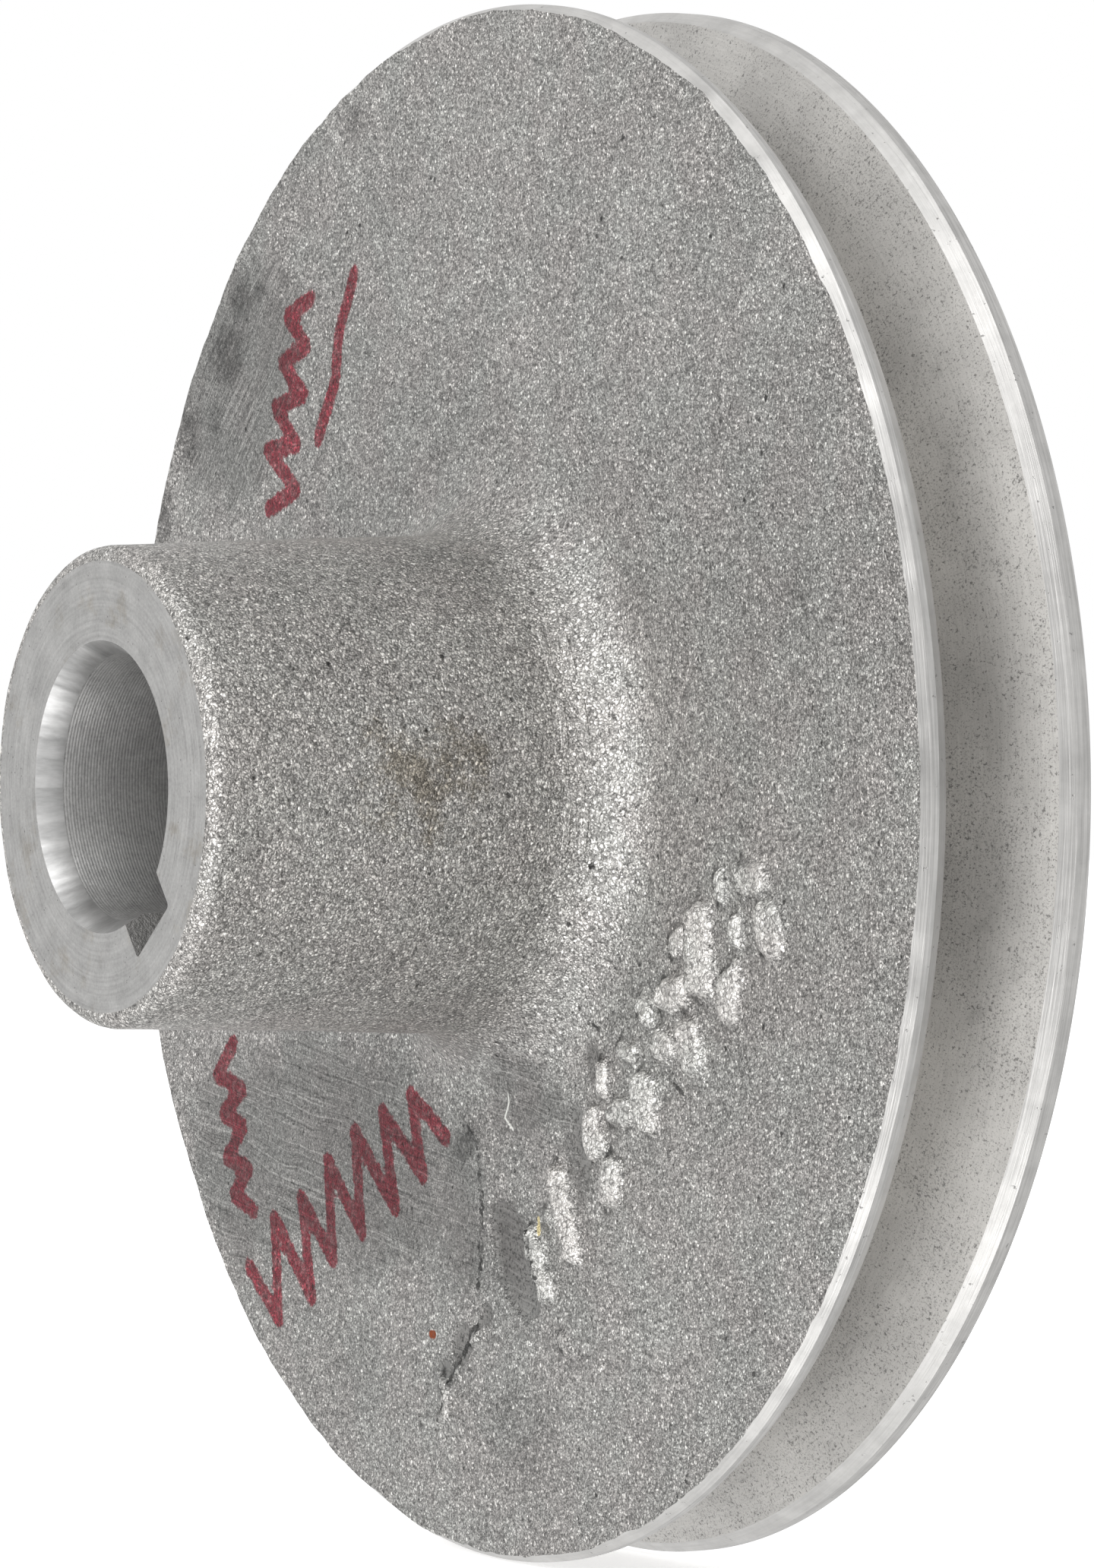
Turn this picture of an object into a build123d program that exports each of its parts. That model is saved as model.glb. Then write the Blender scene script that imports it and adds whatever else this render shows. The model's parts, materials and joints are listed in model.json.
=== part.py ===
from build123d import *

import os
from math import cos, radians, sin, tan

# A cast aluminium pulley for one V belt, in one piece, with a long hub on one side.
# Millimetres and degrees. The bore's axis is the Y axis, with the hub towards -Y and +Z up. The origin is
# on the bore's axis, in the middle plane of the belt groove.

# Rim and belt groove
OUTER_RADIUS = 75.0
GROOVE_TOP_WIDTH = 12.7
GROOVE_ANGLE = 38.0
GROOVE_DEPTH = 14.5
GROOVE_FLOOR_ROUNDING = 1.0
FLANGE_TIP_WIDTH = 2.65  # each side of the groove, measured at the outer radius
LIP_CHAMFER = 1.0  # flat, the same length on the rim as on the groove's wall
FRONT_BEVEL_ALONG = 0.9
FRONT_BEVEL_IN = 0.6
REAR_BEVEL = 0.3

# Hub
HUB_LENGTH = 42.0
HUB_BASE_RADIUS = 24.2
HUB_DRAFT = 2.2
HUB_END_ROUNDING = 1.5
HUB_FILLET = 7.5

# Web, flush with the front of the rim, with a ring-shaped pocket behind it
WEB_THICKNESS = 8.0
RIM_WALL = 8.0  # under the groove's floor, at the back
REAR_BOSS_WALL = 13.5  # round the bore, at the back
POCKET_DRAFT = 5.0
POCKET_FLOOR_FILLET = 4.0
POCKET_MOUTH_ROUNDING = 1.0

# Bore and keyway
BORE_RADIUS = 12.5
LEAD_IN_ALONG = 2.3
LEAD_IN_OUT = 1.2
REAR_CHAMFER = 1.0
KEYWAY_WIDTH = 8.0
KEYWAY_DEPTH = 4.5  # past the bore's wall, on the keyway's middle line
KEYWAY_CORNER = 0.4
KEYWAY_DIRECTION = -52.4  # from +X towards +Z

# Places along Y
HALF_RIM = GROOVE_TOP_WIDTH / 2 + FLANGE_TIP_WIDTH
HUB_END = -HALF_RIM - HUB_LENGTH
POCKET_FLOOR = -HALF_RIM + WEB_THICKNESS


def groove_corners():
    """The groove's corners, from the front lip to the rear one, each as (radius, Y, rounding)."""
    wall_slope = radians(GROOVE_ANGLE / 2)
    floor_radius = OUTER_RADIUS - GROOVE_DEPTH
    half_top = GROOVE_TOP_WIDTH / 2
    half_floor = half_top - GROOVE_DEPTH * tan(wall_slope)
    lip_radius = OUTER_RADIUS - LIP_CHAMFER * cos(wall_slope)
    half_lip = half_top - LIP_CHAMFER * sin(wall_slope)
    corner_turn = 90 - GROOVE_ANGLE / 2
    # the two floor roundings meet in the middle of the floor at most
    widest = 0.95 * half_floor / tan(radians(corner_turn / 2))
    floor_rounding = min(GROOVE_FLOOR_ROUNDING, widest)
    return [
        (OUTER_RADIUS, -half_top - LIP_CHAMFER, 0),
        (lip_radius, -half_lip, 0),
        (floor_radius, -half_floor, floor_rounding),
        (floor_radius, half_floor, floor_rounding),
        (lip_radius, half_lip, 0),
        (OUTER_RADIUS, half_top + LIP_CHAMFER, 0),
    ]


def pocket_corners():
    """The rear pocket's corners, from its outer mouth to its inner one, each as (radius, Y, rounding)."""
    outer_mouth = OUTER_RADIUS - GROOVE_DEPTH - RIM_WALL
    inner_mouth = BORE_RADIUS + REAR_BOSS_WALL
    taper = (HALF_RIM - POCKET_FLOOR) * tan(radians(POCKET_DRAFT))
    return [
        (outer_mouth, HALF_RIM, POCKET_MOUTH_ROUNDING),
        (outer_mouth - taper, POCKET_FLOOR, POCKET_FLOOR_FILLET),
        (inner_mouth + taper, POCKET_FLOOR, POCKET_FLOOR_FILLET),
        (inner_mouth, HALF_RIM, POCKET_MOUTH_ROUNDING),
    ]


def half_section():
    """The outline of the pulley on one side of its axis, with the radius along X and the axis along Y."""
    hub_end_radius = HUB_BASE_RADIUS - HUB_LENGTH * tan(radians(HUB_DRAFT))
    corners = [
        (BORE_RADIUS, HUB_END + LEAD_IN_ALONG, 0),
        (BORE_RADIUS + LEAD_IN_OUT, HUB_END, 0),
        (hub_end_radius, HUB_END, HUB_END_ROUNDING),
        (HUB_BASE_RADIUS, -HALF_RIM, HUB_FILLET),
        (OUTER_RADIUS - FRONT_BEVEL_IN, -HALF_RIM, 0),
        (OUTER_RADIUS, -HALF_RIM + FRONT_BEVEL_ALONG, 0),
        *groove_corners(),
        (OUTER_RADIUS, HALF_RIM - REAR_BEVEL, 0),
        (OUTER_RADIUS - REAR_BEVEL, HALF_RIM, 0),
        *pocket_corners(),
        (BORE_RADIUS + REAR_CHAMFER, HALF_RIM, 0),
        (BORE_RADIUS, HALF_RIM - REAR_CHAMFER, 0),
    ]
    points = [(radius, along) for radius, along, _ in corners]
    roundings = [rounding for _, _, rounding in corners]
    return make_face(FilletPolyline(*points, radius=roundings, close=True).edges())


def keyway():
    """What the keyway takes out: a bar from the axis to the keyway's floor, past both ends of the bore."""
    run_out = 5.0
    depth = BORE_RADIUS + KEYWAY_DEPTH
    bar = Box(
        depth,
        HUB_LENGTH + 2 * HALF_RIM + 2 * run_out,
        KEYWAY_WIDTH,
        align=(Align.MIN, Align.MIN, Align.CENTER),
    )
    floor_edges = bar.edges().filter_by(Axis.Y).group_by(Axis.X)[-1]
    bar = fillet(floor_edges, KEYWAY_CORNER)
    return Rot(Y=-KEYWAY_DIRECTION) * Pos(Y=HUB_END - run_out) * bar


pulley_casting = revolve(half_section(), Axis.Y) - keyway()

os.makedirs("parts", exist_ok=True)
export_step(pulley_casting, "parts/pulley_casting.step")
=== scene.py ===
import json
from math import ceil, cos, hypot, pi, radians, sin, tan

import bmesh
import bpy
from mathutils import Matrix, Vector, noise


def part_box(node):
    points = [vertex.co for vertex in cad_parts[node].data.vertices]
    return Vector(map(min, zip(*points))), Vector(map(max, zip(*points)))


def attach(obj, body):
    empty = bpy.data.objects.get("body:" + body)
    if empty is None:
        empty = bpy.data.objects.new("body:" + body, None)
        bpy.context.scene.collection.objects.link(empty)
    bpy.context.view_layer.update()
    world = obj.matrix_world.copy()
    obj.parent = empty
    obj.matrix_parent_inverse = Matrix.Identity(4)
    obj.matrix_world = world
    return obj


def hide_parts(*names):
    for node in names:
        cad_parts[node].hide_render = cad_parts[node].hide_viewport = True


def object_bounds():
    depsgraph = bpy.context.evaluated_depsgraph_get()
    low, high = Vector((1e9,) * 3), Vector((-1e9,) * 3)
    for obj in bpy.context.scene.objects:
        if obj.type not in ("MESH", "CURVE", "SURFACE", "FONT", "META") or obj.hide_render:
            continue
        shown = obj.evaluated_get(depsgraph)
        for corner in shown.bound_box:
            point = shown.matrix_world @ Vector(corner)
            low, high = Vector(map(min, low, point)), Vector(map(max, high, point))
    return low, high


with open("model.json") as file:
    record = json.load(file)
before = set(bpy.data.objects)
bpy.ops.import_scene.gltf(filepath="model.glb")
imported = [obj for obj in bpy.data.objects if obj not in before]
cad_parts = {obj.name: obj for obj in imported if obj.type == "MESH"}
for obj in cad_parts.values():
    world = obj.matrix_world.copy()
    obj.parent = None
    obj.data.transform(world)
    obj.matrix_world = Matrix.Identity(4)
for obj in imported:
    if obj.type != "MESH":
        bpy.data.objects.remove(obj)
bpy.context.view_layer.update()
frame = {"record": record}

# The pulley turns about Y, with its hub towards -Y and +Z up. Lengths are in millimetres while a mesh is
# being made, and in metres once it is finished.
MM = 0.001
mounts = {mount["name"]: mount for mount in frame["record"]["mounts"]}
low, high = (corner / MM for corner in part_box("pulley_casting"))

# Rim and groove
RIM_RADIUS = mounts["belt_groove"]["dims"]["r_mm"]
REAR_FACE = high.y
FRONT_FACE = -REAR_FACE
HUB_END = low.y
GROOVE_HALF_TOP = 6.35
GROOVE_DEPTH = 14.5
WALL_ANGLE = radians(19)
GROOVE_SLOPE = tan(WALL_ANGLE)
GROOVE_FLOOR = RIM_RADIUS - GROOVE_DEPTH
FLOOR_ROUNDING = 1.0
LIP_CHAMFER = 1.0
LIP_IN = LIP_CHAMFER * cos(WALL_ANGLE)
LIP_ALONG = LIP_CHAMFER * sin(WALL_ANGLE)
GROOVE_MIDDLE = 68.0
FRONT_BEVEL_ALONG = 0.9
FRONT_BEVEL_IN = 0.6
REAR_BEVEL = 0.3
EDGE_DENT, EDGE_BULGE = 0.5, 0.35  # how far the front bevel's edge wanders in and out

# Hub, web and rear pocket
HUB_BASE_RADIUS = 24.2
HUB_SLOPE = tan(radians(2.2))
HUB_FILLET = 7.5
HUB_END_ROUNDING = 1.5
WEB = 8.0
POCKET_OUTER = 52.5
POCKET_INNER = 26.0
POCKET_SLOPE = tan(radians(5))
POCKET_MOUTH_ROUNDING = 1.0
POCKET_FLOOR_FILLET = 4.0

# Bore and keyway
BORE_RADIUS = mounts["bore"]["dims"]["r_mm"]
LEAD_IN_ALONG = 2.3
LEAD_IN_OUT = 1.2
REAR_CHAMFER = 1.0
KEYWAY_WIDTH = 8.0
KEYWAY_FLOOR = 17.0
KEYWAY_CORNER = 0.4
KEYWAY_ANGLE = radians(-52.4)

# How finely the casting is meshed
TURN_STEPS = 420
FACE_STEP, HUB_STEP, TURNED_STEP = 0.64, 1.0, 20.0
ARC_STEP = 0.7
NEAR = 0.02  # how far from a plane or a cylinder a point may be and still lie on it
SHARP_EDGE = radians(30)  # an edge that turns more than this is shaded sharp

# Beads of metal that stand proud of the front face, where the mould's skin broke away: the two ends of each
# as X and Z, its half width, and its height
BEADS = [
    (46.2, -9.0, 48.8, -9.1, 1.5, 0.7),
    (50.2, -12.6, 50.6, -14.4, 2.1, 0.8),
    (44.9, -13.0, 45.0, -14.6, 1.0, 0.7),
    (42.0, -9.2, 42.2, -10.4, 1.1, 0.5),
    (38.6, -12.8, 38.9, -18.4, 1.9, 1.0),
    (43.8, -18.6, 43.7, -20.6, 1.8, 0.9),
    (32.9, -19.9, 34.9, -19.7, 1.7, 0.9),
    (34.3, -15.2, 35.4, -14.3, 1.1, 0.5),
    (28.5, -21.1, 29.0, -21.5, 1.2, 0.7),
    (31.9, -24.3, 32.3, -24.8, 1.5, 0.8),
    (36.6, -23.6, 37.2, -25.4, 1.9, 0.9),
    (24.6, -25.0, 26.4, -25.2, 0.9, 0.6),
    (21.2, -27.0, 21.3, -28.6, 1.1, 0.7),
    (23.6, -31.0, 25.4, -30.8, 1.4, 0.8),
    (28.9, -28.6, 29.5, -31.4, 1.7, 1.0),
    (19.4, -31.9, 19.8, -34.3, 1.4, 0.8),
    (22.9, -36.0, 22.4, -38.6, 1.5, 0.9),
    (12.9, -37.2, 15.6, -44.4, 1.2, 1.0),
    (8.0, -43.6, 10.6, -48.6, 1.1, 0.9),
    (10.4, -41.2, 10.6, -41.5, 0.5, 0.4),
    (12.9, -52.9, 13.4, -53.2, 0.8, 0.4),
    (-3.3, -53.6, -4.0, -54.0, 0.7, 0.4),
    (-9.4, -58.4, -9.2, -61.6, 0.6, 0.5),
    (-13.6, -62.6, -10.8, -62.4, 0.7, 0.4),
]
BEAD_REACH = 12  # no part of a bead is farther than this from its start, in mm
BEAD_SLIMMING = 0.82  # the half width that is used, as a share of the one listed
BEAD_FOOT = 1.2  # where a bead's side meets the face, as a share of its half width

# Spots on the front face that were chiselled flat: centre X and Z, half length, half width, turn in degrees,
# and depth
SPOTS = [
    (4.2, -45.8, 5.9, 3.2, -58.0, 0.5),
    (-6.0, -54.6, 2.4, 1.6, 35.0, 0.3),
    (-2.8, -52.3, 2.6, 0.7, 38.0, 0.2),
    (-9.6, -57.2, 1.6, 0.7, 10.0, 0.2),
    (16.4, -34.0, 3.6, 1.3, -70.0, 0.2),
    (19.0, -26.5, 2.2, 1.2, -60.0, 0.15),
]

# Areas of the front face that were filed, and dirty ones, each as centre X and Z, half length, half width,
# turn in degrees, and strength
FILED = [
    (-31, -37, 26, 11, -8, 1.0),
    (-52, -38, 9, 11, 20, 1.0),
    (-6.5, -41, 5, 9, 0, 0.8),
    (6, -30, 9, 5, -10, 0.7),
    (15.5, -35, 2.5, 5.5, 15, 0.7),
    (-51, 42, 14, 11, 50, 1.0),
    (-45, 50, 8, 6, 0, 0.7),
]
DIRT = [
    (-42, 42, 26, 20, -40, 0.15),
    (-34, -42, 26, 16, 10, 0.15),
    (-53, 45, 3.6, 3, 0, 0.8),
    (-50, 50, 2.8, 2.4, 0, 0.7),
    (-46, 51, 2, 1.5, 0, 0.6),
    (-62, 37, 2.4, 3.2, 0, 0.7),
    (-56, 38, 1.8, 2.2, 0, 0.6),
    (-68, 29, 2.4, 4, 0, 0.6),
    (5, -62, 7, 6, 0, 0.4),
    (-5, -35, 3, 1.5, 35, 0.7),
    (50, 33, 13, 17, 15, 0.22),
    (56, 17, 4, 5, 0, 0.35),
    (-25, 67, 2, 2, 0, 0.5),
    (8, -31, 7, 4, -20, 0.2),
    (2, -47, 9, 8, -50, 0.25),
    (-17, -43, 5, 3, 60, 0.25),
]

# The marker pen's squiggles on the front face, each as the X and Z of its start and end, its sway and its
# number of swings
SQUIGGLES = [
    (-42.0, 28.0, -37.0, 50.0, 2.4, 9),
    (-33.0, 35.0, -26.0, 52.0, 0.6, 3),
    (-55.0, -27.0, -51.0, -44.0, 2.0, 8),
    (-48.0, -53.0, -11.0, -31.0, 4.2, 13),
]
PEN_REACH = 3.0  # how far from a pen's line the distance to it is kept, in mm
INK = (0.66, 0.075, 0.125)  # the share of red, green and blue that the ink lets through

# Thin lines on the front face, each as the X and Z of its corners and its half width: splinters of metal, and
# tears in the skin
SPLINTERS = [
    ([(33.5, -28.0), (35.0, -28.8)], 0.24),
    ([(15.8, -22.6), (18.0, -21.9), (20.0, -23.3)], 0.18),
]
TEARS = [
    ([(-6.5, -32.0), (-2.6, -35.0), (-2.0, -42.0), (-3.0, -49.0)], 0.34),
    ([(-3.0, -52.5), (-7.5, -56.5), (-11.0, -62.0)], 0.3),
    ([(6.6, -41.5), (8.4, -45.0), (9.6, -48.5)], 0.3),
]

# A fibre, a rust dot and two specks on the front face, each as its corners, half width and colour
SPECKS = [
    ([(3.3, -29.7), (3.25, -30.7), (2.7, -31.7), (2.4, -32.2), (4.0, -33.3)], 0.1, (0.8, 0.8, 0.76)),
    ([(-12.3, -54.0), (-11.8, -54.0)], 0.4, (0.22, 0.05, 0.015)),
    ([(31.5, -24.7), (31.7, -24.7)], 0.3, (0.42, 0.3, 0.1)),
    ([(8.6, -41.6), (8.8, -43.4)], 0.2, (0.6, 0.52, 0.3)),
]

# Nicks round the foot of the hub, each as its start and end round the hub and its place along Y
NICKS = [
    (10.5, 15.0, -14.7),
    (10.5, 14.6, -12.9),
    (3.6, 7.6, -14.6),
    (3.2, 7.4, -12.8),
    (-6.4, -2.6, -14.5),
    (-6.2, -2.8, -13.0),
]
NICK_HALF_WIDTH = 0.28
NICK_RADIUS = 24.3


# ---------------------------------------------------------------- the casting's mesh

def outline_corners():
    """The corners of the casting's half section, each as (radius, Y, rounding)."""
    hub_end_radius = HUB_BASE_RADIUS + HUB_SLOPE * (HUB_END - FRONT_FACE)
    half_floor = GROOVE_HALF_TOP - GROOVE_DEPTH * GROOVE_SLOPE
    pocket_floor = FRONT_FACE + WEB
    taper = (REAR_FACE - pocket_floor) * POCKET_SLOPE
    return [
        (BORE_RADIUS, HUB_END + LEAD_IN_ALONG, 0),
        (BORE_RADIUS + LEAD_IN_OUT, HUB_END, 0),
        (hub_end_radius, HUB_END, HUB_END_ROUNDING),
        (HUB_BASE_RADIUS, FRONT_FACE, HUB_FILLET),
        (RIM_RADIUS - FRONT_BEVEL_IN, FRONT_FACE, 0),
        (RIM_RADIUS, FRONT_FACE + FRONT_BEVEL_ALONG, 0),
        (RIM_RADIUS, -GROOVE_HALF_TOP - LIP_CHAMFER, 0),
        (RIM_RADIUS - LIP_IN, LIP_ALONG - GROOVE_HALF_TOP, 0),
        (GROOVE_FLOOR, -half_floor, FLOOR_ROUNDING),
        (GROOVE_FLOOR, half_floor, FLOOR_ROUNDING),
        (RIM_RADIUS - LIP_IN, GROOVE_HALF_TOP - LIP_ALONG, 0),
        (RIM_RADIUS, GROOVE_HALF_TOP + LIP_CHAMFER, 0),
        (RIM_RADIUS, REAR_FACE - REAR_BEVEL, 0),
        (RIM_RADIUS - REAR_BEVEL, REAR_FACE, 0),
        (POCKET_OUTER, REAR_FACE, POCKET_MOUTH_ROUNDING),
        (POCKET_OUTER - taper, pocket_floor, POCKET_FLOOR_FILLET),
        (POCKET_INNER + taper, pocket_floor, POCKET_FLOOR_FILLET),
        (POCKET_INNER, REAR_FACE, POCKET_MOUTH_ROUNDING),
        (BORE_RADIUS + REAR_CHAMFER, REAR_FACE, 0),
        (BORE_RADIUS, REAR_FACE - REAR_CHAMFER, 0),
    ]


def round_corner(bm, corner, radius):
    """Turns one corner of a wire outline into an arc."""
    ways = [edge.other_vert(corner).co - corner.co for edge in corner.link_edges]
    half_turn = (pi - ways[0].angle(ways[1])) / 2
    pieces = max(4, ceil(2 * half_turn * radius / ARC_STEP))
    bmesh.ops.bevel(bm, geom=[corner], offset=radius * tan(half_turn), offset_type="OFFSET", segments=pieces,
                    profile=0.5, affect="VERTICES", material=-1)


def mesh_step(place):
    """The length of a mesh step along the outline near a place on it."""
    if place.x > HUB_BASE_RADIUS and place.y < FRONT_FACE + NEAR:
        return FACE_STEP
    return HUB_STEP if finish_at(place.x, place.y) == "cast_skin" else TURNED_STEP


def turned_casting():
    """The casting without its keyway: its outline, rounded, divided and turned about Y."""
    bm = bmesh.new()
    corners = outline_corners()
    verts = [bm.verts.new((radius, along, 0)) for radius, along, _ in corners]
    for i in range(len(verts)):
        bm.edges.new((verts[i - 1], verts[i]))
    for vert, (_, _, rounding) in zip(verts, corners):
        if rounding:
            round_corner(bm, vert, rounding)
    for edge in list(bm.edges):
        middle = (edge.verts[0].co + edge.verts[1].co) / 2
        cuts = ceil(edge.calc_length() / mesh_step(middle)) - 1
        if cuts > 0:
            bmesh.ops.subdivide_edges(bm, edges=[edge], cuts=cuts)
    bmesh.ops.spin(bm, geom=bm.verts[:] + bm.edges[:], cent=(0, 0, 0), axis=(0, 1, 0), angle=2 * pi,
                   steps=TURN_STEPS, use_merge=True)
    bmesh.ops.remove_doubles(bm, verts=bm.verts[:], dist=NEAR / 10)
    bmesh.ops.recalc_face_normals(bm, faces=bm.faces[:])
    return bm


def keyway_bar():
    """The bar that the keyway is cut with, from the bore's axis to the keyway's floor."""
    bm = bmesh.new()
    bmesh.ops.create_cube(bm, size=1)
    length = REAR_FACE - HUB_END + 10
    bmesh.ops.scale(bm, vec=(KEYWAY_FLOOR, length, KEYWAY_WIDTH), verts=bm.verts[:])
    bmesh.ops.translate(bm, vec=(KEYWAY_FLOOR / 2, (REAR_FACE + HUB_END) / 2, 0), verts=bm.verts[:])
    floor_edges = [e for e in bm.edges if all(v.co.x > KEYWAY_FLOOR - NEAR for v in e.verts)
                   and abs(e.verts[0].co.y - e.verts[1].co.y) > NEAR]
    bmesh.ops.bevel(bm, geom=floor_edges, offset=KEYWAY_CORNER, segments=3, profile=0.5, affect="EDGES",
                    material=-1)
    bmesh.ops.rotate(bm, cent=(0, 0, 0), matrix=Matrix.Rotation(-KEYWAY_ANGLE, 3, "Y"), verts=bm.verts[:])
    return bm


def new_object(name, bm):
    mesh = bpy.data.meshes.new(name)
    bm.to_mesh(mesh)
    bm.free()
    made = bpy.data.objects.new(name, mesh)
    bpy.context.scene.collection.objects.link(made)
    return made


def cut(blank, tool):
    """A bmesh of the blank with the tool's shape taken out of it. Both objects are used up."""
    modifier = blank.modifiers.new("cut", "BOOLEAN")
    modifier.operation = "DIFFERENCE"
    modifier.solver = "EXACT"
    modifier.object = tool
    bpy.context.view_layer.update()
    bm = bmesh.new()
    bm.from_object(blank, bpy.context.evaluated_depsgraph_get())
    for used in (blank, tool):
        bpy.data.objects.remove(used)
    return bm


# ---------------------------------------------------------------- the casting's surface

FINISHES = ["cast_skin", "turned_face", "turned_rim", "groove_wall", "lead_in", "bore", "keyway"]


def finish_at(radius, along):
    """Which finish the casting has at a radius and a place along Y, leaving out the keyway."""
    if radius < BORE_RADIUS + NEAR:
        return "bore"
    if radius < BORE_RADIUS + LEAD_IN_OUT and along < HUB_END + LEAD_IN_ALONG:
        return "lead_in"
    if along < HUB_END + NEAR or along > REAR_FACE - NEAR:
        return "turned_face"
    if radius > GROOVE_FLOOR - NEAR and along > FRONT_FACE + NEAR:
        return "turned_rim" if radius > RIM_RADIUS - LIP_CHAMFER else "groove_wall"
    return "turned_face" if radius < BORE_RADIUS + REAR_CHAMFER else "cast_skin"


def in_keyway(point):
    outward = point.x * cos(KEYWAY_ANGLE) + point.z * sin(KEYWAY_ANGLE)
    across = point.z * cos(KEYWAY_ANGLE) - point.x * sin(KEYWAY_ANGLE)
    return 0 < outward < KEYWAY_FLOOR + NEAR and abs(across) < KEYWAY_WIDTH / 2 + NEAR


def face_finish(face):
    middle = face.calc_center_median()
    radius = hypot(middle.x, middle.z)
    found = finish_at(radius, middle.y)
    if in_keyway(middle) and radius > BORE_RADIUS + NEAR and found != "turned_face":
        return "keyway"
    return found


def beads_near(x, z):
    """The beads close to X and Z, each as the offset from its middle line, its half width and its height."""
    for x0, z0, x1, z1, half_width, top in BEADS:
        if abs(x - x0) > BEAD_REACH or abs(z - z0) > BEAD_REACH:
            continue
        run = Vector((x1 - x0, z1 - z0))
        to_point = Vector((x - x0, z - z0))
        share = max(0, min(1, to_point.dot(run) / run.length_squared))
        yield to_point - share * run, half_width, top


def bead_height(x, z):
    """How far the beads stand out of the front face at X and Z. Each is highest at its side towards -X."""
    height = 0
    for offset, half_width, top in beads_near(x, z):
        away = offset.length / (half_width * BEAD_SLIMMING)
        if away < BEAD_FOOT:
            tilt = 1 - 0.45 * offset.x / half_width
            height = max(height, top * tilt * min(1, (BEAD_FOOT - away) / 0.35))
    return height


def painted_bead_shade_share(x, z):
    """How strongly painted shade darkens X and Z, near the foot of a bead on its steep side."""
    closest = 0
    for offset, half_width, _ in beads_near(x, z):
        gap = abs(offset.length - half_width - 0.35)
        side = max(0, min(1, 0.35 - 0.75 * offset.x / half_width))
        closest = max(closest, side * (1 - gap / 0.6))
    return closest


def ellipse_distance(patch, x, z):
    """How far X and Z lie from a patch's centre, as a share of the way to its edge."""
    cx, cz, half_length, half_width, turn, _ = patch
    along = (x - cx) * cos(radians(turn)) + (z - cz) * sin(radians(turn))
    across = (z - cz) * cos(radians(turn)) - (x - cx) * sin(radians(turn))
    return hypot(along / half_length, across / half_width)


def spot_depth(x, z):
    """How far the chiselled spots are sunk into the front face at X and Z."""
    depth = 0
    for spot in SPOTS:
        wall = max(0, min(1, (1.12 - ellipse_distance(spot, x, z)) / 0.24))
        depth = max(depth, spot[-1] * wall)
    return depth


def patch_strength(patches, x, z):
    """How strongly X and Z lie in any of some elliptical patches, from 0 to 1."""
    strongest = 0
    for patch in patches:
        strength = max(0, min(1, 1.5 - ellipse_distance(patch, x, z)))
        strongest = max(strongest, patch[-1] * strength)
    return strongest


def on_front(point):
    """Whether a point lies on the front face or at the foot of the hub's fillet."""
    return FRONT_FACE - 5 < point.y < FRONT_FACE + 1 and hypot(point.x, point.z) > HUB_BASE_RADIUS


def swell(point):
    """How far the cast skin waves out of the turned shape at a point, leaving out its faults."""
    return 0.10 * noise.noise(point / 13) + 0.05 * noise.noise(point / 4.5 + Vector((7, 0, 0)))


def mark_masks(bm):
    """Gives each point its share in the face's beads, the painted shade on their steep sides, chiselled
    spots, filed areas and dirt.
    """
    layers = {name: bm.verts.layers.float.new(name) for name in ("bead", "painted_bead_shade", "spot", "filed", "dirt")}
    for vert in bm.verts:
        if on_front(vert.co):
            wx, wz = wandered(vert.co)
            vert[layers["bead"]] = min(1, bead_height(wx, wz) / 0.5)
            vert[layers["painted_bead_shade"]] = painted_bead_shade_share(wx, wz)
            vert[layers["spot"]] = min(1, spot_depth(wx, wz) / 0.2)
            vert[layers["filed"]] = patch_strength(FILED, vert.co.x, vert.co.z)
            vert[layers["dirt"]] = patch_strength(DIRT, vert.co.x, vert.co.z)


def wandered(point):
    """X and Z of a point, shifted a little so that the outlines of faults come out ragged."""
    elsewhere = point + Vector((0, 9, 0))
    x_shift = 0.5 * noise.noise(point / 1.9) + 0.3 * noise.noise(point / 0.8)
    z_shift = 0.7 * noise.noise(elsewhere / 1.9) + 0.3 * noise.noise(elsewhere / 0.8)
    return point.x + x_shift, point.z + z_shift


def pen_line(x0, z0, x1, z1, sway, swings):
    """The corners of a zigzag drawn by hand between two places on the front face."""
    start, run = Vector((x0, z0)), Vector((x1 - x0, z1 - z0))
    side = Vector((-run.y, run.x)).normalized()
    corners = []
    for i in range(swings + 1):
        waver = noise.noise(Vector((x0, z0, i * 1.7)))
        reach = sway * (-1) ** i * (1 + 0.9 * waver)
        corners.append(start + run * ((i + 0.6 * waver) / swings) + side * reach)
    return corners


def distance_to_line(place, corners):
    nearest = PEN_REACH
    for start, end in zip(corners, corners[1:]):
        run = end - start
        share = max(0, min(1, (place - start).dot(run) / run.length_squared))
        nearest = min(nearest, (place - start - share * run).length)
    return nearest


def mark_ink(bm):
    """Gives each point on the front face its distance to the nearest pen line, for the ink's edge."""
    layer = bm.verts.layers.float.new("pen_distance")
    lines = [pen_line(*squiggle) for squiggle in SQUIGGLES]
    for vert in bm.verts:
        vert[layer] = PEN_REACH
        place = Vector((vert.co.x, vert.co.z))
        clear_of_hub = place.length > HUB_BASE_RADIUS + HUB_FILLET
        if place.x < -5 and vert.co.y < FRONT_FACE + 1 and clear_of_hub:
            vert[layer] = min(distance_to_line(place, line) for line in lines)


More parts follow.
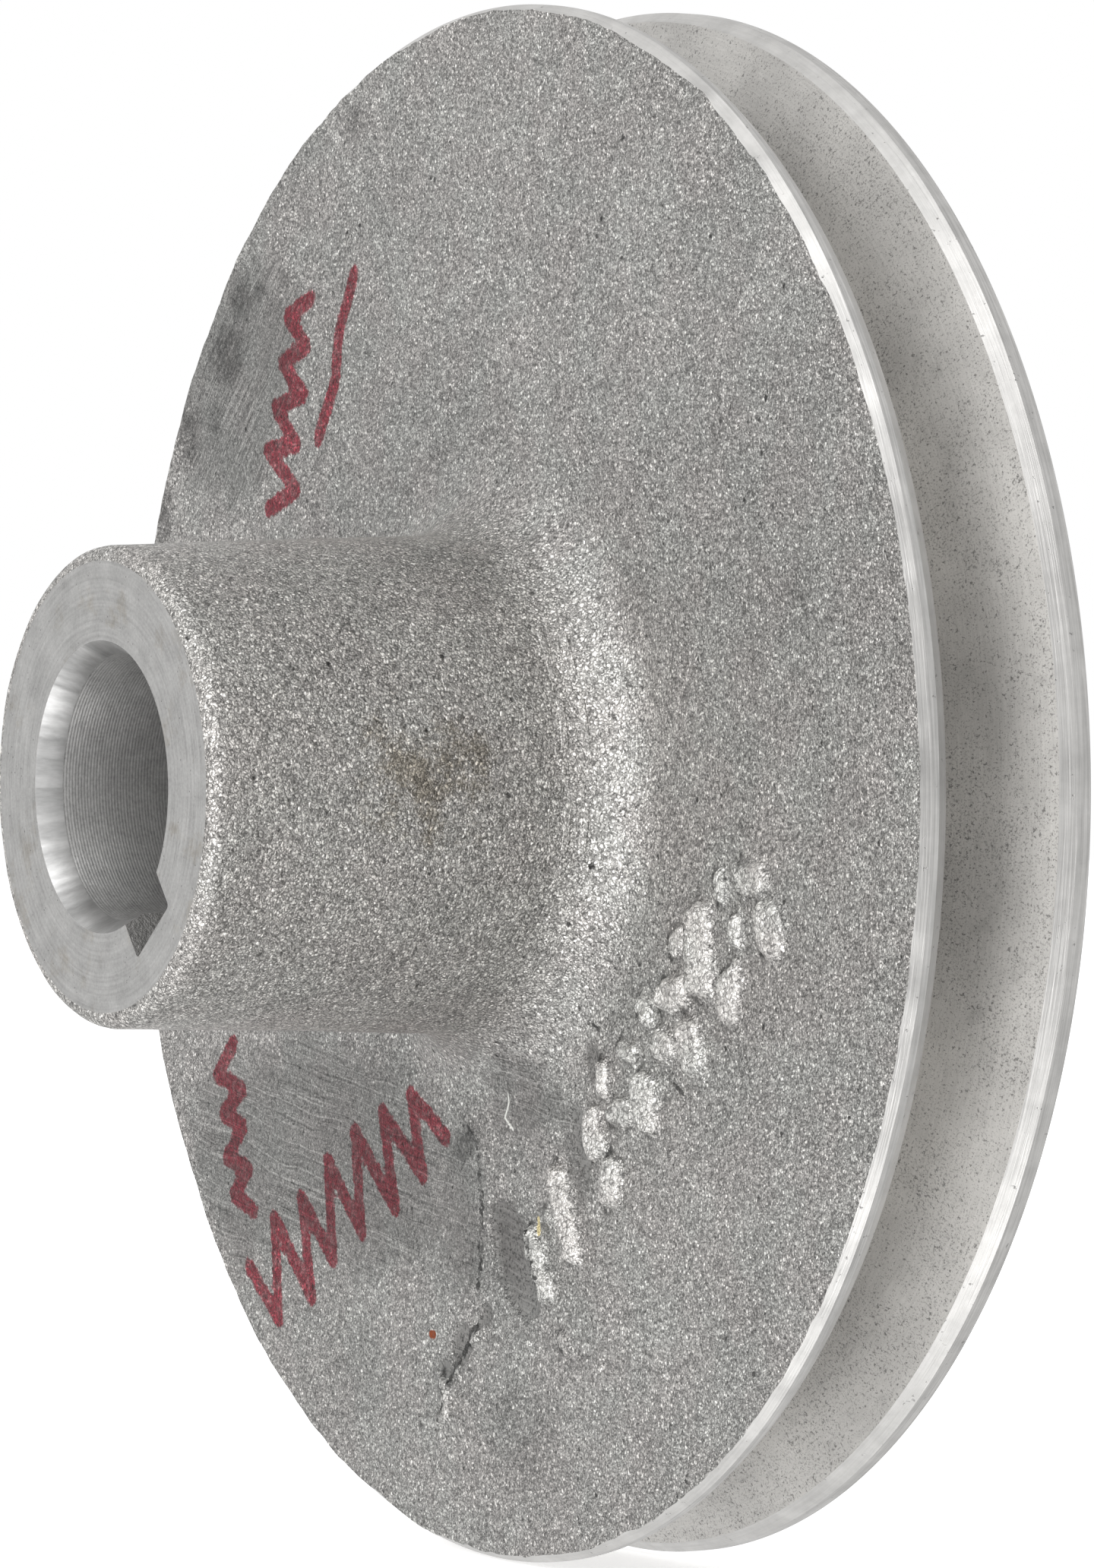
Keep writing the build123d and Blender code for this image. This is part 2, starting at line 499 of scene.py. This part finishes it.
def shape_skin(bm):
    """Moves the cast skin's points by its relief, and leaves the machined surfaces true."""
    bm.normal_update()
    moves = []
    for vert in bm.verts:
        kinds = {FINISHES[face.material_index] for face in vert.link_faces}
        if kinds == {"cast_skin"}:
            height = swell(vert.co)
            if on_front(vert.co):
                wx, wz = wandered(vert.co)
                height += bead_height(wx, wz) - spot_depth(wx, wz)
            moves.append((vert, height * vert.normal))
        elif kinds == {"cast_skin", "turned_rim"}:
            outward = Vector((vert.co.x, 0, vert.co.z)).normalized()
            wave = 0.28 * noise.noise(vert.co / 9) + 0.22 * noise.noise(vert.co / 2.6)
            wave += 0.12 * noise.noise(vert.co / 0.9)
            moves.append((vert, max(-EDGE_DENT, min(EDGE_BULGE, wave)) * outward))
    for vert, move in moves:
        vert.co += move


def split_near_relief(bm):
    """Halves the front face's edges where it has beads and chiselled spots."""
    near_relief = set()
    for face in bm.faces:
        x, y, z = face.calc_center_median()
        is_flat = y < FRONT_FACE + NEAR and hypot(x, z) > HUB_BASE_RADIUS
        if is_flat and bead_height(x, z) + spot_depth(x, z) > 0:
            near_relief.update(face.edges)
    bmesh.ops.subdivide_edges(bm, edges=list(near_relief), cuts=1, use_grid_fill=True)


def casting():
    """The whole pulley as one object, in metres, with each face's material index set to its finish."""
    bm = cut(new_object("blank", turned_casting()), new_object("bar", keyway_bar()))
    for face in bm.faces:
        face.material_index = FINISHES.index(face_finish(face))
        face.smooth = True
    for edge in bm.edges:
        edge.smooth = edge.calc_face_angle(0) < SHARP_EDGE
    split_near_relief(bm)
    mark_masks(bm)
    mark_ink(bm)
    shape_skin(bm)
    bmesh.ops.scale(bm, vec=(MM, MM, MM), verts=bm.verts[:])
    return new_object("pulley_surface", bm)


# ---------------------------------------------------------------- shader maths

class Wire:
    """An output of a shader node, on which arithmetic adds Math nodes."""

    def __init__(self, finish, socket):
        self.finish = finish
        self.socket = socket

    def math(self, operation, *values):
        return self.finish.node("ShaderNodeMath", {"operation": operation}, dict(enumerate(values)))

    def __add__(self, other):
        return self.math("ADD", self, other)

    def __sub__(self, other):
        return self.math("SUBTRACT", self, other)

    def __rsub__(self, other):
        return self.math("SUBTRACT", other, self)

    def __mul__(self, other):
        return self.math("MULTIPLY", self, other)

    def __truediv__(self, other):
        return self.math("DIVIDE", self, other)

    def __pow__(self, other):
        return self.math("POWER", self, other)

    def __abs__(self):
        return self.math("ABSOLUTE", self)

    __radd__ = __add__
    __rmul__ = __mul__

    def lower(self, other):
        return self.math("MINIMUM", self, other)

    def higher(self, other):
        return self.math("MAXIMUM", self, other)

    def root(self):
        return self.math("SQRT", self)

    def sine(self):
        return self.math("SINE", self)


class Finish:
    """A material being built. Its coordinates are the piece's own, in millimetres."""

    def __init__(self, name):
        self.material = bpy.data.materials.new(name)
        self.material.use_nodes = True
        self.tree = self.material.node_tree
        self.tree.nodes.clear()
        place = self.node("ShaderNodeTexCoord", out="Object")
        self.place = self.scaled(place, 1 / MM)
        self.x = self.node("ShaderNodeSeparateXYZ", {}, {0: self.place}, out="X")
        self.y = self.node("ShaderNodeSeparateXYZ", {}, {0: self.place}, out="Y")
        self.z = self.node("ShaderNodeSeparateXYZ", {}, {0: self.place}, out="Z")
        self.radius = (self.x * self.x + self.z * self.z).root()
        self.angle = self.x.math("ARCTAN2", self.z, self.x)

    def node(self, kind, settings=None, inputs=None, out=0):
        """Adds a node, sets it up, then sets or links its sockets. Returns one of its outputs."""
        made = self.tree.nodes.new(kind)
        for name, value in (settings or {}).items():
            setattr(made, name, value)
        for key, value in (inputs or {}).items():
            if isinstance(value, Wire):
                self.tree.links.new(value.socket, made.inputs[key])
            else:
                made.inputs[key].default_value = value
        return Wire(self, made.outputs[out]) if made.outputs else made

    def vector_math(self, operation, *values, out=0):
        return self.node("ShaderNodeVectorMath", {"operation": operation}, dict(enumerate(values)), out)

    def noise(self, per_mm, detail=3, roughness=0.55, at=None):
        inputs = {"Vector": at or self.place, "Scale": per_mm, "Detail": detail, "Roughness": roughness}
        return self.node("ShaderNodeTexNoise", {}, inputs)

    def cells(self, per_mm, feature="F1", out="Distance", at=None):
        inputs = {"Vector": at or self.place, "Scale": per_mm}
        return self.node("ShaderNodeTexVoronoi", {"feature": feature}, inputs, out)

    def step(self, value, start, end, low=0.0, high=1.0):
        """value, eased from low at start to high at end."""
        inputs = {"Value": value, "From Min": start, "From Max": end, "To Min": low, "To Max": high}
        return self.node("ShaderNodeMapRange", {"interpolation_type": "SMOOTHSTEP"}, inputs)

    def vector(self, x, y, z):
        return self.node("ShaderNodeCombineXYZ", {}, {0: x, 1: y, 2: z})

    def mix(self, factor, first, second):
        """A colour between two colours."""
        colours = {key: (*c, 1) if isinstance(c, tuple) else c for key, c in ((6, first), (7, second))}
        return self.node("ShaderNodeMix", {"data_type": "RGBA"}, {0: factor, **colours}, out=2)

    def channel(self, colour, which):
        return self.node("ShaderNodeSeparateColor", {}, {0: colour}, which)

    def scaled(self, vector, value):
        """A vector made longer or shorter, or a colour made brighter or darker."""
        return self.node("ShaderNodeVectorMath", {"operation": "SCALE"}, {0: vector, "Scale": value})

    def shifted(self, bend, reach):
        """The piece's coordinates, bent by a noise's colour."""
        return self.vector_math("MULTIPLY_ADD", bend, (reach, reach, reach), self.place)

    def stroke(self, at, points, half_width):
        """1 within half_width of a line through some points, falling to 0 just outside it."""
        nearest = None
        for start, end in zip(points, points[1:]):
            run = Vector(end) - Vector(start)
            offset = self.vector_math("SUBTRACT", at, start)
            along = self.vector_math("DOT_PRODUCT", offset, run.normalized(), out="Value")
            foot = self.scaled(run.normalized(), along.higher(0.0).lower(run.length))
            gap = self.vector_math("DISTANCE", offset, foot, out="Value")
            nearest = nearest.lower(gap) if nearest else gap
        return self.step(nearest, half_width + 0.1, half_width - 0.05)

    def strokes(self, at, lines):
        """The highest of several strokes, each given as its points and half width."""
        highest = None
        for points, half_width in lines:
            stroke = self.stroke(at, points, half_width)
            highest = highest.higher(stroke) if highest else stroke
        return highest

    def attribute(self, name):
        return self.node("ShaderNodeAttribute", {"attribute_name": name}, out="Fac")

    def bump(self, height, distance_mm):
        return self.node("ShaderNodeBump", {}, {"Height": height, "Distance": distance_mm * MM})

    def surface(self, **sockets):
        """The finished metal surface, from the Principled shader's sockets."""
        inputs = {name.replace("_", " "): value for name, value in sockets.items()}
        shader = self.node("ShaderNodeBsdfPrincipled", {}, inputs)
        self.node("ShaderNodeOutputMaterial", {}, {"Surface": shader})
        return self.material


# ---------------------------------------------------------------- finishes

def ink_marks(f):
    """Where the marker pen's ink lies on the front face."""
    away = f.attribute("pen_distance") + (f.noise(1.6, detail=3) - 0.5) * 0.9
    return f.step(away, 1.1, 0.8)


def on_face(corners):
    """Corners that are given by X and Z, as points in the front face's plane."""
    return [(x, FRONT_FACE, z) for x, z in corners]


def face_lines(f, at, lines):
    """Where some thin lines lie on the front face."""
    return f.strokes(at, [(on_face(corners), half_width) for corners, half_width in lines])


def scratches(f):
    """The file's marks: nearly level below the hub, and slanting above it."""
    sag = f.noise(0.08) * 2.5
    level = f.vector((f.x - f.z * 0.17) * 0.05, 0.0, (f.z + f.x * 0.17 + sag) * 4.6)
    slanting = f.vector((f.x + f.z) * 0.05, 0.0, (f.z - f.x + sag) * 3.4)
    at = f.mix(f.step(f.z, -2, 2), level, slanting)
    lines = f.noise(1.0, detail=1, roughness=0.5, at=at)
    bright = f.step(lines, 0.56, 0.67)
    dark = f.step(lines, 0.43, 0.32)
    return f.noise(1.6, detail=4, roughness=0.7, at=at) * 0.6 + bright * 0.6 - dark * 0.4


def hub_nicks(f):
    """Short smooth nicks round the foot of the hub, in pairs."""
    unrolled = f.vector(f.angle * NICK_RADIUS, f.y, 0.0)
    lines = [([(start, y, 0), (end, y, 0)], NICK_HALF_WIDTH) for start, end, y in NICKS]
    return f.strokes(unrolled, lines)


GRAINS_PER_MM = 2.9
FLAKES_PER_MM = 1.5


def cast_skin():
    """Sand-cast skin: packed grains that glint, partly through painted glints in the colour, with dark cracks
    and pits between them.
    """
    f = Finish("cast_skin")
    bend = f.node("ShaderNodeTexNoise", {}, {"Vector": f.place, "Scale": 2.3, "Detail": 2}, out=1)
    at = f.shifted(bend, 0.55)
    wide = f.shifted(bend, 1.6)
    ragged_x = f.x + (f.channel(bend, 0) - 0.5) * 1.8
    ragged_z = f.z + (f.channel(bend, 2) - 0.5) * 1.8
    on_hub = f.step(f.y, FRONT_FACE - 0.5, FRONT_FACE - 5)
    patchy = f.step(f.noise(1.1, detail=2), 0.40, 0.60)
    grain = f.cells(GRAINS_PER_MM, at=at)
    tone = f.channel(f.cells(GRAINS_PER_MM, at=at, out="Color"), 0)
    flake = f.channel(f.cells(FLAKES_PER_MM, at=wide, out="Color"), 1)
    crack = f.step(f.cells(GRAINS_PER_MM, "DISTANCE_TO_EDGE", at=at), 0.22, 0.03) * (0.35 + patchy * 0.65)
    seams = f.step(f.cells(FLAKES_PER_MM, "DISTANCE_TO_EDGE", at=wide), 0.2, 0.03) * (1 - patchy)
    # Painted glints: the brightest grains get small white specks in the colour.
    painted_glint = f.step(tone, 0.72, 0.92) * f.step(grain, 0.5, 0.15)
    pits = f.step(f.cells(0.42, at=at), 0.13, 0.07) * f.step(f.noise(0.3), 0.5, 0.6)
    flecks = f.step(f.cells(1.0, at=at), 0.17, 0.08) * f.step(f.noise(0.35), 0.42, 0.56)
    fine = f.noise(3.7, detail=3, roughness=0.65)
    sand = f.step(fine, 0.32, 0.68)
    cloud = f.noise(0.08, detail=4)

    level = 0.13 + tone * 0.23 + sand * (0.37 - on_hub * 0.07)
    level = level + (cloud - 0.5) * 0.16 + (flake - 0.3) * on_hub * 0.1
    level = level * (1 - crack * (0.55 + on_hub * 0.12)) * (1 - seams * 0.55)
    # Painted highlight: a ring round the foot of the hub's fillet is painted up to 15 percent lighter.
    foot = f.step(f.radius, 25, 27.5) * f.step(f.radius, 34, 29)
    level = level * (1 + on_hub * 0.32 + foot * 0.15) * (1 - flecks * (0.7 - on_hub * 0.4)) + painted_glint * 0.42

    filed = f.step(f.attribute("filed") + (f.noise(0.5, detail=4) - 0.5) * 1.2, 0.35, 0.7)
    scratch = scratches(f)
    wear_and_painted_reflection = 0.17 + scratch * 0.34 + (sand - 0.5) * 0.16
    wear_and_painted_reflection = wear_and_painted_reflection * (1 - crack * 0.4) * (1 - seams * 0.6) * (1 - flecks * 0.8)
    level = level + (wear_and_painted_reflection - level) * filed * 0.8
    spot = f.step(f.attribute("spot") + (sand - 0.5) * 0.7, 0.4, 0.9)
    spot_edge = spot * (1 - spot) * 4
    level = level + (0.21 + scratch * 0.1 + (sand - 0.5) * 0.08 + (cloud - 0.5) * 0.3 - level) * spot
    level = level * (1 - spot_edge * 0.55)
    # The beads are painted lighter: partly for their fresher metal, partly as a painted highlight where their
    # slopes face the light.
    bead = f.step(f.attribute("bead") + (fine - 0.5) * 1.1, 0.25, 1.0)
    crackle = f.step(f.cells(1.7, "DISTANCE_TO_EDGE", at=at), 0.16, 0.02) * (0.35 + sand * 0.65)
    level = level + (0.58 - crackle * 0.4 + (tone - 0.5) * 0.3 + (sand - 0.5) * 0.25 - level) * bead
    # Painted shade: the foot of each bead's steep side, towards -X, is painted up to 80 percent darker.
    level = level * (1 - f.step(f.attribute("painted_bead_shade") + (sand - 0.5) * 0.6, 0.3, 0.9) * 0.8)

    grime = f.attribute("dirt")
    dirt = f.step(grime * 1.2 + (f.noise(0.7, detail=5, roughness=0.75) - 0.5) * 2.2, 0.3, 0.9)
    dirt = dirt * f.step(f.noise(2.4, detail=2), 0.38, 0.62, 0.35, 1.0)
    nicks = hub_nicks(f)
    level = level * (1 - dirt * 0.5) * (1 - grime * 0.3) * (1 - pits * 0.8) * (1 - nicks * 0.2) + nicks * 0.1
    splinters = face_lines(f, f.place, SPLINTERS)
    torn = face_lines(f, f.vector(ragged_x, FRONT_FACE, ragged_z), TEARS)
    torn = torn * f.step(f.y, FRONT_FACE + 2, FRONT_FACE + 1)
    level = level * (1 - splinters * 0.75) * (1 - torn * (0.15 + patchy * 0.65))

    hue = f.noise(0.13, detail=3)
    tint = f.mix(f.step(hue, 0.35, 0.65), (1.0, 0.995, 0.955), (1.0, 0.965, 0.93))
    colour = f.scaled(f.mix(on_hub * 0.4, tint, (1.0, 0.955, 0.91)), level)
    smear = (f.noise(0.22, detail=4, roughness=0.7) - 0.5) * 16 + fine * 5
    stain = (f.y + 29.2) ** 2.0 / 24 + (f.angle * 24 - 0.5) ** 2.0 / 16 + smear
    stain = f.step(stain, 5.5, 1.0) * on_hub
    colour = f.mix(stain * 0.75, colour, f.scaled((0.60, 0.53, 0.42), level * (1.2 - sand * 0.5)))
    ink = ink_marks(f) * f.step(f.noise(1.3, detail=3), 0.25, 0.6, 0.72, 1.0)
    inked = f.vector_math("MULTIPLY", colour, INK)
    colour = f.mix(ink * 0.97, colour, inked)
    for corners, half_width, its_colour in SPECKS:
        colour = f.mix(f.stroke(f.place, on_face(corners), half_width), colour, its_colour)

    height = (1 - grain * 1.2) * 0.6 + fine * 0.5 - crack * 0.3 - seams * 0.7 - pits * 2 + nicks * 0.8
    height = height * (1 - filed * 0.7) * (1 - spot * 0.85) + scratch * filed * 0.25 + flake * on_hub * 0.25
    return f.surface(Base_Color=colour, Metallic=0.85, Roughness=0.36 + fine * 0.14,
                     Normal=f.bump(height, 0.09))


def turned_face():
    """The hub's end and the back, turned bright with faint rings."""
    f = Finish("turned_face")
    rings = f.noise(3.1, detail=2, at=f.vector(f.radius, f.angle * 0.6, 0.0))
    marks = f.noise(0.35, detail=5, roughness=0.6)
    pores = f.step(f.cells(1.5), 0.16, 0.07) * f.step(f.noise(0.5), 0.48, 0.6)
    grit = f.noise(3.0, detail=4, roughness=0.7)
    level = 0.35 + (rings - 0.5) * 0.2 + (marks - 0.5) * 0.22 + (grit - 0.5) * 0.24
    smudges = f.step(f.noise(0.22, detail=5, roughness=0.65), 0.54, 0.7)
    level = level * (1 - pores * 0.65) * (1 - smudges * 0.16)
    tint = f.mix(smudges, (1.0, 0.99, 0.97), (1.0, 0.955, 0.88))
    return f.surface(Base_Color=f.scaled(tint, level), Metallic=0.8, Roughness=0.48,
                     Normal=f.bump(rings * 0.5 + f.noise(1.5) * 0.4 - pores, 0.03))


def turned_rim():
    """The rim's bevels, lands and lips, turned bright with fine lines round them."""
    f = Finish("turned_rim")
    lines = f.noise(5.0, detail=2, at=f.vector(f.y, f.radius, f.angle * 1.5))
    blots = f.noise(0.25, detail=5, roughness=0.65)
    chips = f.step(f.noise(1.1, detail=3, roughness=0.7), 0.66, 0.74)
    bevel = f.step(f.y, FRONT_FACE + FRONT_BEVEL_ALONG + 0.05, FRONT_FACE + FRONT_BEVEL_ALONG - 0.05)
    lip = f.step(abs(f.y), GROOVE_HALF_TOP + LIP_CHAMFER + 0.03, GROOVE_HALF_TOP + LIP_CHAMFER - 0.03)
    sloped = bevel.higher(lip)
    # Painted reflection: the bevel and lips are painted darker near mid-height, where Z is near 0, and
    # lighter above and below it.
    wear_and_painted_reflection = f.step(abs(f.z), 8, 50, 0.74, 1.1)
    level = 0.46 + (lines - 0.5) * (0.4 - sloped * 0.3) + (blots - 0.5) * 0.3
    level = level * (1 - chips * 0.5) * (1 + (wear_and_painted_reflection - 1) * sloped)
    return f.surface(Base_Color=f.scaled((1.0, 0.985, 0.96), level), Metallic=0.8,
                     Roughness=0.42 + lines * 0.1, Normal=f.bump(lines - chips, 0.035))


def groove_wall():
    """The groove's walls, turned smooth through a metal full of small pores."""
    f = Finish("groove_wall")
    at = f.vector(f.radius, f.angle * GROOVE_MIDDLE, f.y)
    lines = f.noise(5.0, detail=2, at=f.vector(f.radius, f.angle * 3.0, 0.0))
    grit = f.noise(5.0, detail=3, roughness=0.7, at=at)
    crowd = f.step(f.noise(0.09, detail=4, roughness=0.7), 0.35, 0.65)
    pores = f.step(f.noise(3.0, detail=2, roughness=0.6, at=at) + crowd * 0.045, 0.62, 0.70)
    small = f.step(f.noise(5.0, detail=1, at=at) + crowd * 0.06, 0.57, 0.68)
    smudge = f.noise(0.06, detail=5, roughness=0.6)
    stain = f.step(f.noise(0.16, detail=4, roughness=0.6), 0.6, 0.75)
    level = 0.46 + (smudge - 0.5) * 0.45 + (lines - 0.5) * 0.16 + (grit - 0.5) * 0.24
    level = level * (1 - pores * 0.55) * (1 - small * 0.35) * (1 - stain * 0.25)
    # Painted light: the wall is painted up to 1.3 times lighter towards the groove's floor.
    level = level * f.step(f.radius, 62, 73, 1.3, 1.0)
    return f.surface(Base_Color=f.scaled((1.0, 0.975, 0.935), level), Metallic=0.5, Roughness=0.45,
                     Normal=f.bump(lines * 0.3 + grit * 0.3, 0.03))


def lead_in():
    """The chamfer at the bore's mouth, with the flats that a chattering countersink leaves."""
    f = Finish("lead_in")
    flats = f.noise(1.0, detail=1, at=f.vector(f.angle * 6.0, 0.0, 0.0))
    scuffs = f.noise(3.0, at=f.vector(f.angle * 12.0, f.y * 0.3, 0.0))
    level = 0.45 + (flats - 0.5) * 0.5 + (scuffs - 0.5) * 0.25
    return f.surface(Base_Color=f.scaled((1.0, 0.995, 0.985), level), Metallic=0.9, Roughness=0.34,
                     Normal=f.bump(flats, 0.25))


FEED_MM = 0.32  # how far the boring tool moved along in one turn


def bore():
    """The bore's wall, with its feed lines."""
    f = Finish("bore")
    feed = (f.y * (2 * pi / FEED_MM) + f.angle).sine() * 0.5 + 0.5
    stain = f.noise(0.5, detail=4, roughness=0.65)
    grit = f.noise(2.6, detail=4, roughness=0.75, at=f.vector(f.angle * BORE_RADIUS, f.y, 0.0))
    level = 0.36 + feed * 0.06 + (stain - 0.5) * 0.25 + (grit - 0.5) * 0.5
    return f.surface(Base_Color=f.scaled((1.0, 0.99, 0.975), level), Metallic=0.85, Roughness=0.42,
                     Normal=f.bump(feed * 0.4 + grit, 0.02))


def keyway():
    """The keyway's broached walls, coloured dark."""
    f = Finish("keyway")
    tears = f.noise(1.6, detail=4, roughness=0.7)
    return f.surface(Base_Color=f.scaled((1.0, 0.98, 0.95), 0.08 + tears * 0.3), Metallic=0.6,
                     Roughness=0.55, Normal=f.bump(tears, 0.3))


# ---------------------------------------------------------------- room, lights and camera

CAMERA_AT = Vector((0.54870, -0.32883, -0.00211))
CAMERA_AZIMUTH = 59.233
CAMERA_ELEVATION = -0.125
CAMERA_ROLL = -0.561
LENS = 150.8
SHIFT_X, SHIFT_Y = -0.0017, 0.0043

FLOOR_HALF_SIZE = 6
FLOOR_GAP = 0.0004  # how far the floor lies under the pulley
LIGHT_DISTANCE = 1.3


def camera():
    data = bpy.data.cameras.new("camera")
    data.sensor_width = 36
    data.lens = LENS
    data.shift_x = SHIFT_X
    data.shift_y = SHIFT_Y
    made = bpy.data.objects.new("camera", data)
    bpy.context.scene.collection.objects.link(made)
    turn = Matrix.Rotation(radians(CAMERA_AZIMUTH), 4, "Z")
    tilt = Matrix.Rotation(radians(90 - CAMERA_ELEVATION), 4, "X")
    roll = Matrix.Rotation(radians(CAMERA_ROLL), 4, "Z")
    made.matrix_world = Matrix.Translation(CAMERA_AT) @ turn @ tilt @ roll
    bpy.context.scene.camera = made


def softbox(name, direction, size, watts):
    """A square light that faces the pulley from a direction."""
    data = bpy.data.lights.new(name, "AREA")
    data.size = size
    data.energy = watts
    made = bpy.data.objects.new(name, data)
    bpy.context.scene.collection.objects.link(made)
    way = Vector(direction).normalized()
    facing = way.to_track_quat("Z", "Y").to_matrix().to_4x4()
    made.matrix_world = Matrix.Translation(way * LIGHT_DISTANCE) @ facing


def room():
    """A pale floor under the pulley and a plain white surround."""
    bm = bmesh.new()
    bmesh.ops.create_grid(bm, x_segments=1, y_segments=1, size=FLOOR_HALF_SIZE)
    bmesh.ops.translate(bm, vec=(0, 0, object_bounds()[0][2] - FLOOR_GAP), verts=bm.verts[:])
    floor = new_object("floor", bm)
    pale = Finish("floor").surface(Base_Color=(0.9, 0.9, 0.9, 1), Roughness=0.8, Emission_Color=(1, 1, 1, 1),
                                   Emission_Strength=0.55)
    floor.data.materials.append(pale)
    floor.visible_glossy = False
    floor.visible_diffuse = False
    floor.visible_shadow = False
    world = bpy.data.worlds.new("surround")
    bpy.context.scene.world = world
    world.use_nodes = True
    tree = world.node_tree
    tree.nodes.clear()
    seen = tree.nodes.new("ShaderNodeBackground")
    seen.inputs[0].default_value = (1, 1, 1, 1)
    lit = tree.nodes.new("ShaderNodeBackground")
    lit.inputs[0].default_value = (0.88, 0.88, 0.88, 1)
    path = tree.nodes.new("ShaderNodeLightPath")
    choose = tree.nodes.new("ShaderNodeMixShader")
    out = tree.nodes.new("ShaderNodeOutputWorld")
    tree.links.new(path.outputs["Is Camera Ray"], choose.inputs[0])
    tree.links.new(lit.outputs[0], choose.inputs[1])
    tree.links.new(seen.outputs[0], choose.inputs[2])
    tree.links.new(choose.outputs[0], out.inputs[0])


pulley = casting()
for make in (cast_skin, turned_face, turned_rim, groove_wall, lead_in, bore, keyway):
    pulley.data.materials.append(make())
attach(pulley, "root")
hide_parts("pulley_casting")

camera()
room()
softbox("upper_key", (0.38, -0.92, 0.42), 0.55, 9)
softbox("lower_key", (0.38, -0.92, -0.42), 0.55, 9)
softbox("above", (0.3, -0.45, 0.84), 0.7, 3.5)
softbox("below", (0.3, -0.45, -0.84), 0.7, 3.5)

bpy.context.scene.view_settings.view_transform = "Standard"
